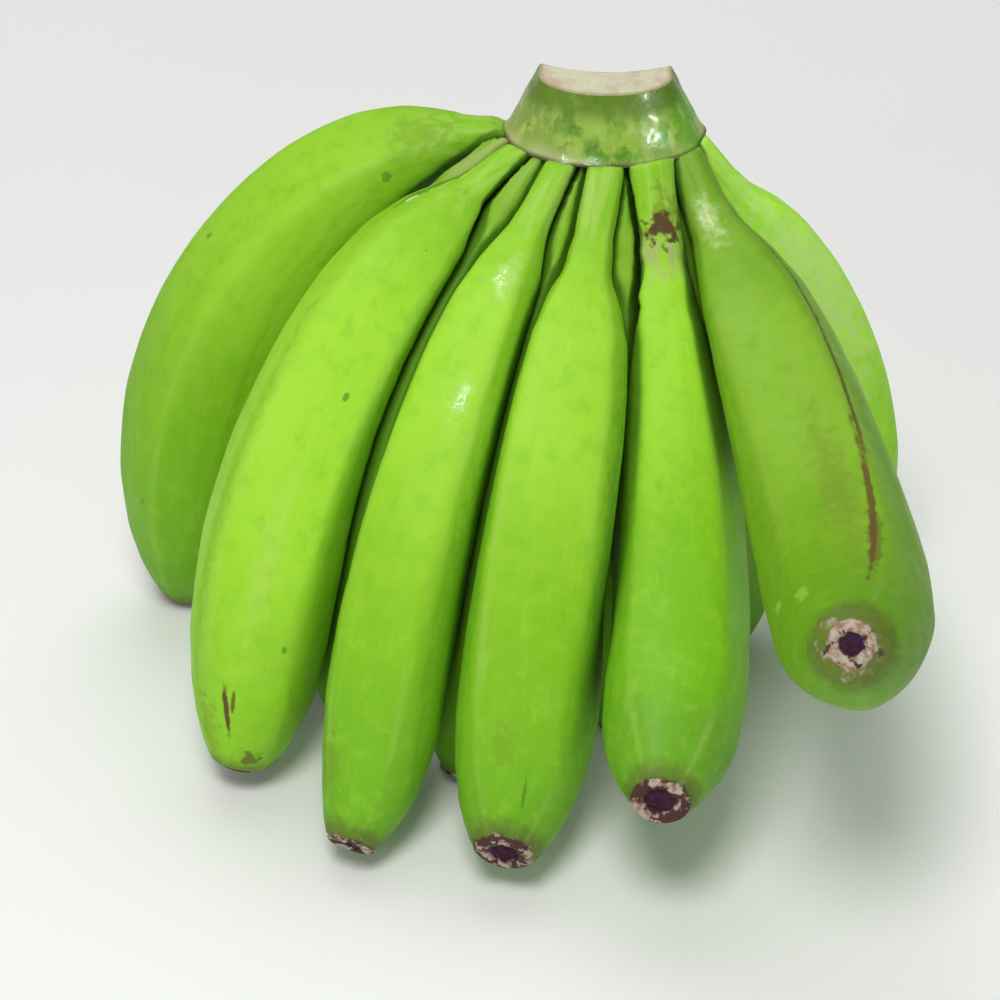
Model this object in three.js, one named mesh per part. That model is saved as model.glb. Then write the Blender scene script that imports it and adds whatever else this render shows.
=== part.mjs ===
// A hand of green bananas: a crown of stalk tissue with two rows of fingers growing out of it.
// Millimetres, +Z up, +X to the hand's right, -Y towards its front. While the hand is built, z = 0 is
// the underside of the crown; at the end the origin moves to the middle of the surface it stands on.
import * as THREE from "three";
import { mergeVertices } from "three/addons/utils/BufferGeometryUtils.js";

// Driving dimensions, in millimetres and degrees.
const STANDING_HEIGHT = 145; // from the surface up to the crown's underside
const GAP = 0.8; // clearance between neighbouring pieces
const CROWN_CLEARANCE = 6; // fingers stay below the crown's underside this far past its edge

const CROWN_HEIGHT = 16;
const CROWN_HALF_WIDTH = 25; // of its rounded front, half an ellipse, at the underside
const CROWN_FRONT_DEPTH = 17.5; // of that half ellipse
const CROWN_CENTRE_Y = -0.5; // of that half ellipse
const CROWN_END_ANGLE = 10; // how far the front runs past the half ellipse, at each end
const CROWN_BACK_Y = 7.5; // control point of the back
const CROWN_TOP_WIDTH_SHARE = 0.7; // the cut face against the underside
const CROWN_TOP_DEPTH_SHARE = 0.6;
const CROWN_TOP_SHIFT_Y = 1;
const CROWN_WAIST = 0.12; // how far the sides bow inwards on the way up
const CROWN_LAYERS = 4;
const CROWN_ARC_STEPS = 10;

const OUTER_ROOTS = { halfWidth: 20, depth: 12.5, centreY: -0.5 }; // ellipse the stalks start on
const INNER_ROOTS = { halfWidth: 13, depth: 8.5, centreY: 3 }; // the same for the inner row
const FINGER_SIDES = 15;
const FINGER_RINGS = 21;
const STATIONS = 60; // steps along a centreline
const PRESS_STEPS = 12; // halvings that find where a finger meets its neighbour
const USUAL_BEND = 0.85;
const RIDGES = 5; // long edges of a finger
const RIDGE_HEIGHT = 0.035; // against the finger's radius
const RIDGE_ANGLE = 36; // of the first ridge, from the middle of the outer side
const SCAR_RADIUS = 6.4; // where the flower dropped off
const STUB_RADIUS = 3.6; // dried style in the middle of the scar
const STUB_LENGTH = 1.6;

// Radius of a finger along its length: share of the length, radius in millimetres. The part up to
// USUAL_STALK is stretched or squeezed to the finger's own stalk, and the part up to HALFWAY makes up
// for it.
const USUAL_STALK = 0.14;
const HALFWAY = 0.5;
const STALK_END = 0.2; // girth changes the finger only past this share
const OUTLINE = [
  [0, 5.6],
  [0.06, 5],
  [0.11, 4.9],
  [0.14, 5.6],
  [0.19, 9.4],
  [0.25, 13],
  [0.33, 15.5],
  [0.42, 17],
  [0.54, 18.1],
  [0.68, 18.6],
  [0.8, 17.4],
  [0.89, 14.4],
  [0.95, 10.8],
  [1, SCAR_RADIUS],
];

// One line for each finger. root: angle on its row's ellipse. heading: compass angle from +X, at its
// start and at its tip. slope: elevation at both. bend: below 1 the slope changes most near the stalk,
// above 1 near the tip. stalk: share of the length.
const OUTER_ROW = [
  { root: 184, heading: [166, 228], slope: [-5, -100], length: 188, girth: 1.03, bend: 0.8, stalk: 0.09 },
  { root: 210, heading: [212, 252], slope: [-20, -82], length: 182, girth: 1.03, stalk: 0.12 },
  { root: 245, heading: [238, 253], slope: [-32, -70], length: 181, girth: 0.87 },
  { root: 273, heading: [257, 262], slope: [-40, -64], length: 178, girth: 1.05, stalk: 0.18 },
  { root: 302, heading: [286, 262], slope: [-58, -10], length: 168, girth: 0.96, bend: 1.6, stalk: 0.18 },
  { root: 330, heading: [312, 259], slope: [-42, 47], length: 180, girth: 1.06, bend: 2 },
  { root: 352, heading: [351, 404], slope: [-46, -96], length: 156, girth: 0.92 },
];
const INNER_ROW = [
  { root: 196, heading: [198, 242], slope: [-26, -92], length: 168, girth: 0.9 },
  { root: 226, heading: [219, 246], slope: [-26, -92], length: 168, girth: 0.92 },
  { root: 258, heading: [248, 250], slope: [-38, -82], length: 166, girth: 0.92 },
  { root: 285, heading: [272, 286], slope: [-46, -92], length: 157, girth: 0.92 },
  { root: 316, heading: [314, 340], slope: [-56, -98], length: 150, girth: 0.92 },
];

const CROWN_MATERIAL = { color: 0x9bb84a, roughness: 0.6, metalness: 0 };
const PEEL_MATERIAL = { color: 0x86c62c, roughness: 0.38, metalness: 0 };

const { degToRad, lerp } = THREE.MathUtils;

// Radius of a finger at a share of its length.
const outlineCurve = new THREE.SplineCurve(OUTLINE.map((point) => new THREE.Vector2(...point)));
const outlinePoints = outlineCurve.getPoints(FINGER_RINGS);

// Where on a finger's length a share of the usual outline lies.
function ownShare({ stalk = USUAL_STALK }, share) {
  if (share > HALFWAY) return share;
  if (share < USUAL_STALK) return (share / USUAL_STALK) * stalk;
  return lerp(stalk, HALFWAY, (share - USUAL_STALK) / (HALFWAY - USUAL_STALK));
}

function radiusAt(finger, share, stalkRadius) {
  const swelling = THREE.MathUtils.smoothstep(share, 0, STALK_END);
  return stalkRadius * lerp(1, finger.girth, swelling);
}

// The straight finger, along +Y: a turned solid whose outline starts and ends on the axis.
function straightFinger(finger) {
  const outline = outlinePoints.map(
    ({ x, y }) => new THREE.Vector2(radiusAt(finger, x, y), ownShare(finger, x) * finger.length),
  );
  outline.unshift(new THREE.Vector2(0, 0));
  outline.push(new THREE.Vector2(STUB_RADIUS, finger.length));
  outline.push(new THREE.Vector2(STUB_RADIUS, finger.length + STUB_LENGTH));
  outline.push(new THREE.Vector2(0, finger.length + STUB_LENGTH));
  const turned = new THREE.LatheGeometry(outline, FINGER_SIDES);
  turned.deleteAttribute("normal");
  turned.deleteAttribute("uv");
  return mergeVertices(turned);
}

// Points and axes along the middle of a finger, from its root to its tip.
function centreline(finger, { halfWidth, depth, centreY }) {
  const angle = degToRad(finger.root);
  const point = new THREE.Vector3(halfWidth * Math.cos(angle), centreY + depth * Math.sin(angle), -GAP);
  const outlineSamples = outlineCurve.getSpacedPoints(STATIONS * 4);
  const stations = [];
  for (let i = 0; i <= STATIONS; i++) {
    const share = i / STATIONS;
    const azimuth = degToRad(lerp(...finger.heading, share));
    const elevation = degToRad(lerp(...finger.slope, share ** (finger.bend ?? USUAL_BEND)));
    const along = new THREE.Vector3(
      Math.cos(elevation) * Math.cos(azimuth),
      Math.cos(elevation) * Math.sin(azimuth),
      Math.sin(elevation),
    );
    const side = new THREE.Vector3(-Math.sin(azimuth), Math.cos(azimuth), 0);
    const outward = new THREE.Vector3().crossVectors(along, side);
    const sample = outlineSamples.find(({ x }) => ownShare(finger, x) >= share) ?? outlineSamples.at(-1);
    const radius = radiusAt(finger, share, sample.y);
    stations.push({ point: point.clone(), along, side, outward, radius });
    point.addScaledVector(along, finger.length / STATIONS);
  }
  return stations;
}

// How far a point is from a centreline, counted in the finger's own radius there.
function closeness(stations, point) {
  let share = Infinity;
  let radius = 1;
  for (const station of stations) {
    const here = station.point.distanceTo(point) / station.radius;
    if (here < share) {
      share = here;
      radius = station.radius;
    }
  }
  return { share, radius };
}

// True where a point belongs to a finger and keeps half the gap to every neighbour.
function isFree(own, neighbours, point) {
  const mine = closeness(own, point);
  return neighbours.every((other) => {
    const theirs = closeness(other, point);
    return theirs.share - mine.share >= (GAP / 2) * (1 / mine.radius + 1 / theirs.radius);
  });
}

// Bends the straight finger along its centreline and presses it flat against its neighbours, against
// the crown's underside and against the surface that the hand stands on.
function fingerGeometry(finger, own, neighbours) {
  const geometry = straightFinger(finger);
  const position = geometry.getAttribute("position");
  for (let i = 0; i < position.count; i++) {
    const straight = new THREE.Vector3().fromBufferAttribute(position, i);
    const index = Math.min(Math.round((straight.y / finger.length) * STATIONS), STATIONS);
    const station = own[index];
    const past = straight.y - (index / STATIONS) * finger.length;
    const middle = station.point.clone().addScaledVector(station.along, past);
    const angle = Math.atan2(straight.x, -straight.z);
    const ridged = 1 + RIDGE_HEIGHT * Math.cos(RIDGES * (angle - degToRad(RIDGE_ANGLE)));
    const spoke = new THREE.Vector3()
      .addScaledVector(station.side, straight.x)
      .addScaledVector(station.outward, -straight.z)
      .multiplyScalar(ridged);
    position.setXYZ(i, ...pressed(middle, spoke, own, neighbours).toArray());
  }
  return geometry;
}

function pressed(middle, spoke, own, neighbours) {
  let reach = 1;
  if (spoke.length() > 0 && !isFree(own, neighbours, middle.clone().add(spoke))) {
    let free = 0;
    let taken = 1;
    for (let i = 0; i < PRESS_STEPS; i++) {
      reach = (free + taken) / 2;
      const point = middle.clone().addScaledVector(spoke, reach);
      if (isFree(own, neighbours, point)) free = reach;
      else taken = reach;
    }
    reach = free;
  }
  const point = middle.clone().addScaledVector(spoke, reach);
  const fromCentre = Math.hypot(point.x / CROWN_HALF_WIDTH, (point.y - CROWN_CENTRE_Y) / CROWN_FRONT_DEPTH);
  const outside = (fromCentre - 1) * CROWN_FRONT_DEPTH;
  point.z = Math.min(point.z, Math.max(outside - CROWN_CLEARANCE, 0) - GAP);
  point.z = Math.max(point.z, -STANDING_HEIGHT);
  return point;
}

// The crown: a thick wedge with a rounded front, narrower at the cut face on top.
function crownGeometry() {
  const start = degToRad(180 - CROWN_END_ANGLE);
  const end = degToRad(CROWN_END_ANGLE);
  const outline = new THREE.Shape();
  outline.absellipse(0, CROWN_CENTRE_Y, CROWN_HALF_WIDTH, CROWN_FRONT_DEPTH, start, end, false);
  outline.quadraticCurveTo(
    0,
    CROWN_BACK_Y,
    CROWN_HALF_WIDTH * Math.cos(start),
    CROWN_CENTRE_Y + CROWN_FRONT_DEPTH * Math.sin(start),
  );
  const geometry = new THREE.ExtrudeGeometry(outline, {
    depth: CROWN_HEIGHT,
    steps: CROWN_LAYERS,
    bevelEnabled: false,
    curveSegments: CROWN_ARC_STEPS,
  });
  const position = geometry.getAttribute("position");
  for (let i = 0; i < position.count; i++) {
    const up = position.getZ(i) / CROWN_HEIGHT;
    const waist = CROWN_WAIST * Math.sin(Math.PI * up);
    const x = position.getX(i) * (lerp(1, CROWN_TOP_WIDTH_SHARE, up) - waist);
    const y = position.getY(i) * (lerp(1, CROWN_TOP_DEPTH_SHARE, up) - waist);
    position.setXY(i, x, y + CROWN_TOP_SHIFT_Y * up);
  }
  return geometry;
}

const hand = new THREE.Group();
const crown = new THREE.Mesh(crownGeometry(), new THREE.MeshStandardMaterial(CROWN_MATERIAL));
crown.name = "crown";
hand.add(crown);

const fingers = [
  ...OUTER_ROW.map((finger) => ({ finger, own: centreline(finger, OUTER_ROOTS) })),
  ...INNER_ROW.map((finger) => ({ finger, own: centreline(finger, INNER_ROOTS) })),
];
fingers.forEach(({ finger, own }, index) => {
  const neighbours = fingers.filter((other) => other.own !== own).map((other) => other.own);
  const geometry = fingerGeometry(finger, own, neighbours);
  const mesh = new THREE.Mesh(geometry, new THREE.MeshStandardMaterial(PEEL_MATERIAL));
  mesh.name = `finger_${String(index + 1).padStart(2, "0")}`;
  hand.add(mesh);
});

const box = new THREE.Box3().setFromObject(hand, true);
const middle = box.getCenter(new THREE.Vector3());
hand.position.set(-middle.x, -middle.y, -box.min.z);

export default hand;
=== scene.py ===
"""The looks of a hand of green bananas.

Each finger gets a fine mesh around the middle line of its CAD solid, pressed against its neighbours
as fruit is that grew side by side. The crown gets a knife-cut face and a thick lower lip. The peel,
its marks and the crown are procedural materials. Lengths are in metres and angles in degrees.
"""

import math
from dataclasses import dataclass
from types import SimpleNamespace

import bmesh
import bpy
import numpy as np
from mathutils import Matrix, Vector, noise


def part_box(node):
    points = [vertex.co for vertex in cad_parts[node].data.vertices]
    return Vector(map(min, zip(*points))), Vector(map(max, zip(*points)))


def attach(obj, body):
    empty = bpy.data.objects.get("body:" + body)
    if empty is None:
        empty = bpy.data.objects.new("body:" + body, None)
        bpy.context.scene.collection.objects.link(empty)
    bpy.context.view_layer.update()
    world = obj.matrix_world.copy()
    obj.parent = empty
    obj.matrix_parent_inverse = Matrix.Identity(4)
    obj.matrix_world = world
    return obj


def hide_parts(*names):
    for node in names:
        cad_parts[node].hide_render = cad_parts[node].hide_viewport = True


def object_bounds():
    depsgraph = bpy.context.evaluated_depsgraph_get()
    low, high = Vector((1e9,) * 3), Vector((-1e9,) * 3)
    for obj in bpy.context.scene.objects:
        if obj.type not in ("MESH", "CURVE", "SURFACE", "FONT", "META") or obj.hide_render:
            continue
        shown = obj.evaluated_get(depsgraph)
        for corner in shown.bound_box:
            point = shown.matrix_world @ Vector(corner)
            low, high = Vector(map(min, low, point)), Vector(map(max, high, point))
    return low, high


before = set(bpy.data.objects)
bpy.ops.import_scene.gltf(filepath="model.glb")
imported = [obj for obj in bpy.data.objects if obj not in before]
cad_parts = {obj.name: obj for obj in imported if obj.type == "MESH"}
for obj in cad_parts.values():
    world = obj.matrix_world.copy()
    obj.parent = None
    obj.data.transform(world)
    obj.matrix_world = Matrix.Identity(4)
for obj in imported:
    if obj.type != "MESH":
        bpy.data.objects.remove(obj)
cad_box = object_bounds()
MM = 0.001

# The CAD fingers.
CAD_SIDES = 15
CAD_RINGS = 22  # from the root to the rim of the scar
CAD_GIRTH = 19.2 * MM  # widest radius of a finger of girth 1, ridges included
FLAT_ENOUGH = 0.02 * MM  # a CAD ring further from flat was cut off by the crown or the floor
BENDS = 6  # degree of the smooth curve through a finger's middle points
MIDDLE_PASSES = 8  # of the search for a ring's middle
TIP_SPACING = 3 * MM  # the tip point counts if it is further than this from the last ring

# The fine fingers.
AROUND = 96
ANGLES = np.arange(AROUND) * 2 * math.pi / AROUND  # of a ring's spokes, from the outer face on
ACROSS = np.stack([np.sin(ANGLES), np.cos(ANGLES)], 1)  # sideways, outwards
ROWS_TO_END = 112  # rows of faces up to the rounded end
ROWS_IN_END = 36
END_STARTS = 0.85  # share of the length
OUTLINE = (  # share of the length, radius in millimetres
    (0, 5.6),
    (0.04, 5.2),
    (0.09, 5.1),
    (0.13, 6.2),
    (0.15, 7.8),
    (0.19, 11.2),
    (0.24, 13.9),
    (0.32, 15.9),
    (0.4, 17),
    (0.54, 18.1),
    (0.68, 18.6),
    (0.8, 17.7),
    (0.88, 15.6),
    (0.93, 13.2),
    (0.965, 10.8),
    (0.985, 9),
    (1, 7.2),
)
USUAL_STALK = 0.14  # the outline up to here stretches with the finger's own stalk
HALFWAY = 0.5
GIRTH_CHANGES = (0.8 * USUAL_STALK, 1.4 * USUAL_STALK)  # from the stalk's own girth to the finger's
OUTLINE_BLUR = 0.012  # share of the length that a corner of the outline is rounded over
OUTLINE_SPARE = 0.2  # share of the length that is blurred too, past each end
OUTLINE_SAMPLES = 2801
EDGES = 5
EDGE_SHARPNESS = 14
EDGE_SHARES = (0, 0.12, 0.24, 0.6, 0.9, 1)  # of the length
EDGE_DEPTHS = (0.35, 0.45, 0.75, 0.6, 0.22, 0.05)  # 0 is round, 1 is a pentagon
GAP = 0.7 * MM  # between fingers that touch
SOFT_PRESS = 3 * MM  # how gently a finger's side turns into the flat where it touches
SOFTEST_PRESS = 0.16  # most of that, in radii
NEIGHBOUR_STEP = 3  # every third row of a neighbour is near enough
REACH_LIMIT = 1.35  # a spoke looks for neighbours this far out, in radii
REACH_STEPS = 10
REACH_HALVINGS = 5
FREE_REACH = 3  # times the limit, for a spoke that meets nothing
UNEVENNESS = 0.016  # of the radius
LUMPS = ((28, 7.3, 1), (90, 3.1, 0.4))  # lumps to the metre, place of the pattern, share of the height
END_TURN_STARTS = 0.78  # share of the length
END_TURN_POWER = 1.5
FULL_END_AT = (0.6, 0.9, 1)  # where a fuller end starts, is fullest and stops

# The scar at a finger's tip: the rows' radius and height past the end, in millimetres, from the rim
# inwards.
SCAR_ROWS = (
    (7.2, 0.4),
    (6.8, 0.75),
    (6.2, 0.95),
    (5.4, 1),
    (4.6, 0.85),
    (3.9, 0.5),
    (3.4, 0.05),
    (3, -0.1),
    (2.4, 0.3),
    (1.7, 0.8),
    (0.9, 0.8),
)
SCAR_STEP = 0.01  # a scar row counts as this much more share of the length
SCAR_RAGGED_FROM = 4  # row
SCAR_RAGGEDNESS = 0.6  # height of its unevenness, in millimetres
SCAR_RIM_LUMPS = (1.2, 0.05)  # how many, and how far they push a row outwards, as a share
SCAR_INNER_LUMPS = (2.2, 0.16)
SCAR_LUMP_SPACING = 0.3  # how much the lumps change from row to row
SCAR_FINE_LUMPS = 1.7  # times as many as the others

PATTERN_SHIFT = (0.31, 0.17, 0)  # from one finger's peel pattern to the next one's

# Colours of the peel, its marks and the scar.
STALK = (0.25, 0.56, 0.018)
LIME = (0.34, 0.7, 0.03)
LEAF = (0.25, 0.56, 0.014)
DEEP = (0.17, 0.46, 0.01)
TIP = (0.14, 0.38, 0.01)
# Dark green for painted shade in creases and along gaps, and for small dark specks and lines.
PAINTED_SHADE_AND_DARK_MARKS = (0.07, 0.2, 0.012)
PALE = (0.46, 0.66, 0.14)
DRY = (0.4, 0.46, 0.16)
# Whitish colour for painted highlights, for painted light on a shaded side, and for a pale fleck.
PAINTED_LIGHT_AND_FLECK = (0.62, 0.76, 0.36)
# A darker, greyer green.
GREY_GREEN = (0.15, 0.34, 0.05)
OLIVE = (0.18, 0.26, 0.02)
RUSSET = (0.13, 0.075, 0.02)
BROWN = (0.09, 0.045, 0.02)
BEIGE = (0.45, 0.39, 0.31)
UMBER = (0.07, 0.03, 0.025)
MAROON = (0.06, 0.012, 0.03)
PLUM = (0.035, 0.014, 0.05)
BRIGHT = (0.42, 0.7, 0.06)
FRECKLE = (0.12, 0.15, 0.02)
SCORCHED = (0.1, 0.11, 0.02)
CORK = (0.3, 0.17, 0.11)

# The peel's green along a finger: share of the length, colour.
GREENS = ((0.0, STALK), (0.08, STALK), (0.24, LIME), (0.42, LIME), (0.62, LEAF), (0.9, DEEP), (1.0, TIP))
DRIFT = 0.36  # how far clouds in the peel move these, as a share of the length
TWO_TURNS = 720  # keeps an angle above zero
EDGE_LINE = 0.12  # width of the line on a long edge, to each side, in radians
EDGE_PALENESS = 0.25
FRECKLE_BEND = 4 * MM
SCAR_FRAY = 0.035  # how ragged the scar's rim is, as a share of the length
SCORCH_BEGINS = (0.965, 1.0)  # share of the length, from its first trace to its full colour
SCAR_BEGINS = (0.997, 1.008)
HEART_BEGINS = (1.056, 1.069)
PEEL_ROUGHNESS = (0.48, 0.61)
PEEL_SPECULAR = 0.22
DULL = 0.75  # roughness of cork and cut flesh
WAX_DENTS = 0.5 * MM
SHINE_DENTS = 0.35 * MM
FIBRE_RELIEF = 0.1 * MM
MARK_DULLNESS = 0.15  # added to the peel's roughness
GLOSS = -0.37  # the same for a mark that shines

# Colours of the crown's rind and cut flesh.
MOSS = (0.09, 0.26, 0.01)
RIND = (0.18, 0.36, 0.025)
RIND_RIGHT = (0.14, 0.46, 0.008)
RIND_LEFT = (0.3, 0.38, 0.09)
RIND_PATCH = (0.34, 0.52, 0.07)
RIND_STREAK = (0.46, 0.56, 0.13)
RIND_BRUISE = (0.17, 0.13, 0.04)
RIND_UNDER_CUT = (0.1, 0.19, 0.008)
RIND_FOOT = (0.42, 0.46, 0.17)
RIND_SEAM = (0.07, 0.045, 0.015)
FLESH = (0.62, 0.62, 0.43)
PINKISH = (0.56, 0.37, 0.27)
BUNDLE = (0.42, 0.3, 0.18)
FACE_RIM = (0.34, 0.3, 0.12)
RIND_ROUGHNESS = (0.26, 0.42)
RIND_RELIEF = 0.35 * MM
COAT = 0.12
COAT_ROUGHNESS = 0.12


@dataclass
class Mark:
    """An oval on the peel: a blemish, a waxy patch, painted shade or a painted highlight."""

    share: float  # where its middle is along the finger
    length: float  # also a share of the finger
    angle: float  # where its middle is round the finger, from the outer face
    width: float  # also round the finger
    strength: float  # how much of its colour is laid on
    colour: tuple
    lean: float = 0  # how far round the finger half its length runs
    soft: float = 0.5  # how much of the oval fades out
    fray: float = 1.6  # how ragged its edge is
    streaks: bool = False  # broken up into lengthwise fibres
    gloss: bool = False  # shines, where other marks are duller than the peel


@dataclass
class Look:
    """How a finger differs from the usual one."""

    stalk: float = 0.14  # share of the length
    stalk_girth: float = 1
    kept: float = 1  # how much of the CAD finger's length the peel covers
    end_turn: float = 10  # how far the end curls towards the outer face
    full_end: float = 0  # how much fuller the end is
    edge_turn: float = 0  # turns the long edges round the finger
    tone: float = 1  # brightness of the peel
    fade: float = 1  # how much the peel darkens towards the end
    scar: float = 1  # size
    beige: float = 0.45  # how much of the scar is pale
    marks: tuple = ()


FINGERS = {
    "finger_01": Look(
        stalk=0.09,
        edge_turn=8,
        tone=0.87,
        marks=(
            Mark(share=0.13, length=0.08, angle=20, width=60, strength=0.35, colour=OLIVE, fray=2.2),
            # Painted shade: a darker band down one facet.
            Mark(share=0.5, length=0.7, angle=22, width=20, lean=-8, strength=0.3, colour=DEEP, soft=1),
        ),
    ),
    "finger_02": Look(
        stalk=0.12,
        end_turn=14,
        edge_turn=31,
        fade=0.7,
        scar=0.78,
        marks=(
            # Painted shade down one flank, and a painted sheen on the other side of the outer face.
            Mark(share=0.6, length=0.7, angle=-22, width=26, strength=0.45, colour=DEEP, soft=0.8),
            Mark(share=0.66, length=0.34, angle=30, width=30, strength=0.35, colour=PALE, soft=1),
            Mark(share=0.93, length=0.12, angle=-8, width=34, strength=0.4, colour=OLIVE, fray=2.4),
            Mark(share=0.895, length=0.11, angle=15, width=7, lean=5, strength=0.95, colour=BROWN, soft=0.6),
            Mark(share=0.88, length=0.04, angle=21, width=5, strength=0.8, colour=BROWN),
            Mark(share=0.436, length=0.018, angle=46, width=6, strength=0.7, colour=PAINTED_SHADE_AND_DARK_MARKS),
            Mark(share=0.785, length=0.014, angle=57, width=5, strength=0.6, colour=PAINTED_SHADE_AND_DARK_MARKS),
            Mark(share=0.97, length=0.03, angle=48, width=30, strength=0.7, colour=BROWN, fray=2.6),
            # Painted shade along the edge that borders a dark gap near the stalk.
            Mark(share=0.13, length=0.14, angle=-38, width=26, strength=0.8, colour=PAINTED_SHADE_AND_DARK_MARKS, fray=2),
            Mark(share=0.175, length=0.02, angle=-30, width=14, strength=0.9, colour=PAINTED_LIGHT_AND_FLECK, fray=2),
        ),
    ),
    "finger_03": Look(
        end_turn=36,
        tone=0.97,
        scar=0.85,
        beige=0.55,
        marks=(
            # Painted highlights: whitish halos where the glint lamps shine on glossier patches.
            Mark(share=0.2, length=0.1, angle=20, width=52, strength=0.32, colour=PAINTED_LIGHT_AND_FLECK, soft=1, gloss=True),
            Mark(share=0.376, length=0.08, angle=20, width=28, strength=0.3, colour=PAINTED_LIGHT_AND_FLECK, soft=1, gloss=True),
            Mark(share=0.9, length=0.12, angle=-30, width=34, strength=0.4, colour=OLIVE, fray=2.4),
            # Painted shade down a flank.
            Mark(share=0.62, length=0.7, angle=68, width=42, strength=0.6, colour=DEEP, soft=0.8),
        ),
    ),
    "finger_04": Look(
        stalk=0.18,
        stalk_girth=1.15,
        kept=0.98,
        end_turn=46,
        edge_turn=8,
        tone=0.95,
        beige=0.35,
        marks=(
            # A darker, greyer side facet, and painted shade down the other flank.
            Mark(share=0.6, length=0.8, angle=64, width=36, strength=0.5, colour=GREY_GREEN, soft=0.8),
            Mark(share=0.64, length=0.7, angle=-48, width=32, strength=0.7, colour=DEEP, soft=0.8),
            Mark(share=0.92, length=0.13, angle=18, width=5, lean=3, strength=0.75, colour=PAINTED_SHADE_AND_DARK_MARKS, soft=0.8),
            Mark(share=0.84, length=0.1, angle=-6, width=22, strength=0.3, colour=OLIVE, fray=2.6),
        ),
    ),
    "finger_05": Look(
        stalk=0.17,
        stalk_girth=1.45,
        full_end=0.12,
        tone=0.97,
        fade=1.1,
        beige=0.42,
        marks=(
            Mark(
                share=0.145, length=0.11, angle=10, width=200, strength=0.9, colour=DRY, soft=1, streaks=True
            ),
            Mark(share=0.09, length=0.09, angle=24, width=90, strength=0.6, colour=OLIVE, fray=2.4),
            Mark(share=0.104, length=0.055, angle=12, width=80, strength=0.95, colour=BROWN, fray=2.4),
            # Painted shade down a flank; the next mark darkens the outer face over its lower half.
            Mark(share=0.6, length=0.8, angle=-46, width=30, strength=0.5, colour=DEEP, soft=0.8),
            Mark(share=0.66, length=0.5, angle=4, width=80, strength=0.6, colour=DEEP, soft=1),
        ),
    ),
    "finger_06": Look(
        stalk_girth=1.2,
        end_turn=0,
        edge_turn=-15,
        tone=0.65,
        fade=0.78,
        scar=0.74,
        beige=0.75,
        marks=(
            # A darker, greyer side facet, and darker olive further down the outer face.
            Mark(share=0.6, length=0.72, angle=46, width=50, lean=-6, strength=0.6, colour=GREY_GREEN, soft=0.8),
            Mark(share=0.64, length=0.56, angle=-4, width=44, strength=0.6, colour=OLIVE, soft=1),
            # Painted shade along the edge beside the gap to finger_07.
            Mark(share=0.22, length=0.32, angle=43, width=9, lean=-8, strength=0.85, colour=PAINTED_SHADE_AND_DARK_MARKS, soft=0.8),
            Mark(share=0.4, length=0.5, angle=30, width=7, lean=-13, strength=0.85, colour=RUSSET, fray=0.9),
            Mark(share=0.7, length=0.5, angle=15, width=7, lean=-7, strength=0.9, colour=RUSSET, fray=0.9),
            Mark(share=0.78, length=0.26, angle=14, width=13, lean=-3, strength=0.6, colour=RUSSET, fray=2),
            Mark(share=0.83, length=0.03, angle=-77, width=14, strength=0.4, colour=PALE, fray=2.6),
            Mark(share=0.9, length=0.04, angle=-50, width=14, strength=0.3, colour=PALE, fray=2.8),
            # Painted highlight: a whitish halo where a glint lamp shines on a glossier patch of the stalk.
            Mark(
                share=0.118, length=0.11, angle=-21, width=66, strength=0.6, colour=PAINTED_LIGHT_AND_FLECK, soft=1, gloss=True
            ),
        ),
    ),
    # Painted light: finger_07 is brightened, and a pale patch laid on the side that faces away from the
    # lamps.
    "finger_07": Look(
        tone=1.35,
        marks=(Mark(share=0.3, length=0.6, angle=-62, width=110, strength=0.5, colour=PAINTED_LIGHT_AND_FLECK, soft=1),),
    ),
    "finger_08": Look(
        stalk=0.2,
        stalk_girth=1.8,
        tone=0.72,
        marks=(
            Mark(share=0.1, length=0.3, angle=0, width=360, strength=0.6, colour=DRY, soft=1, streaks=True),
        ),
    ),
    "finger_09": Look(stalk=0.2, stalk_girth=1.5, tone=0.72),
    "finger_10": Look(stalk=0.2, stalk_girth=1.6, tone=0.72),
    "finger_11": Look(stalk=0.2, stalk_girth=1.7, tone=0.72),
    "finger_12": Look(stalk=0.2, stalk_girth=1.5, tone=0.72),
}

# The crown. Its foot is the CAD crown's outline, and its cut face a narrower band with blunt ends.
CROWN_END_ANGLE = 10
CROWN_ROUND_POINTS = 140
CROWN_BACK_POINTS = 60
FRONT_DEPTH = 17.5 * MM  # of the half ellipse that bounds the foot in front
FOOT_BULGE = 5 * MM  # twice the height of the back's middle over its corners
FACE_HALF_WIDTH = 16.6 * MM
FACE_FRONT = 8.2 * MM  # behind the foot's front
FACE_END_DEPTH = 7.5 * MM  # of the rounded rectangle whose front half bounds the face
FACE_SQUARENESS = 0.5
FACE_BOW = 5 * MM  # how far the face's ends lie behind its middle
FACE_DIP = 8 * MM
LIP = 0.9 * MM  # rounding of the lower edge
FLARE = 1.2 * MM  # how far the foot spreads
FLARE_HEIGHT = 3 * MM
CUT_EDGE = 0.3 * MM  # rounding of the edge of the cut face
RIBS = 11  # faint swellings on the rind, one above each stalk
RIB_HEIGHT = 0.3 * MM
RIND_LUMPS = ((110, 3, 1), (280, 9, 0.6))
RIND_LUMP_HEIGHT = 0.3 * MM
FACE_LUMPS = ((160, 5, 1),)
FACE_LUMP_HEIGHT = 0.35 * MM
FACE_LUMPS_GROW = 9  # they are whole a ninth of the way in from the rim

# The crown's rings, from the middle of its underside to the middle of its cut face.
UNDERSIDE_SPREADS = (0.3, 0.6, 0.85)  # shares of the outline's size
LIP_TURNS = np.linspace(-90, 20, 9)
SIDE_RINGS = 30
SIDE_STARTS = 1.8 * LIP
CUT_EDGE_TURNS = (0, 30, 60, 90)
FACE_SPREADS = (0.96, 0.9, 0.82, 0.72, 0.6, 0.48, 0.36, 0.24, 0.12)

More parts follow.
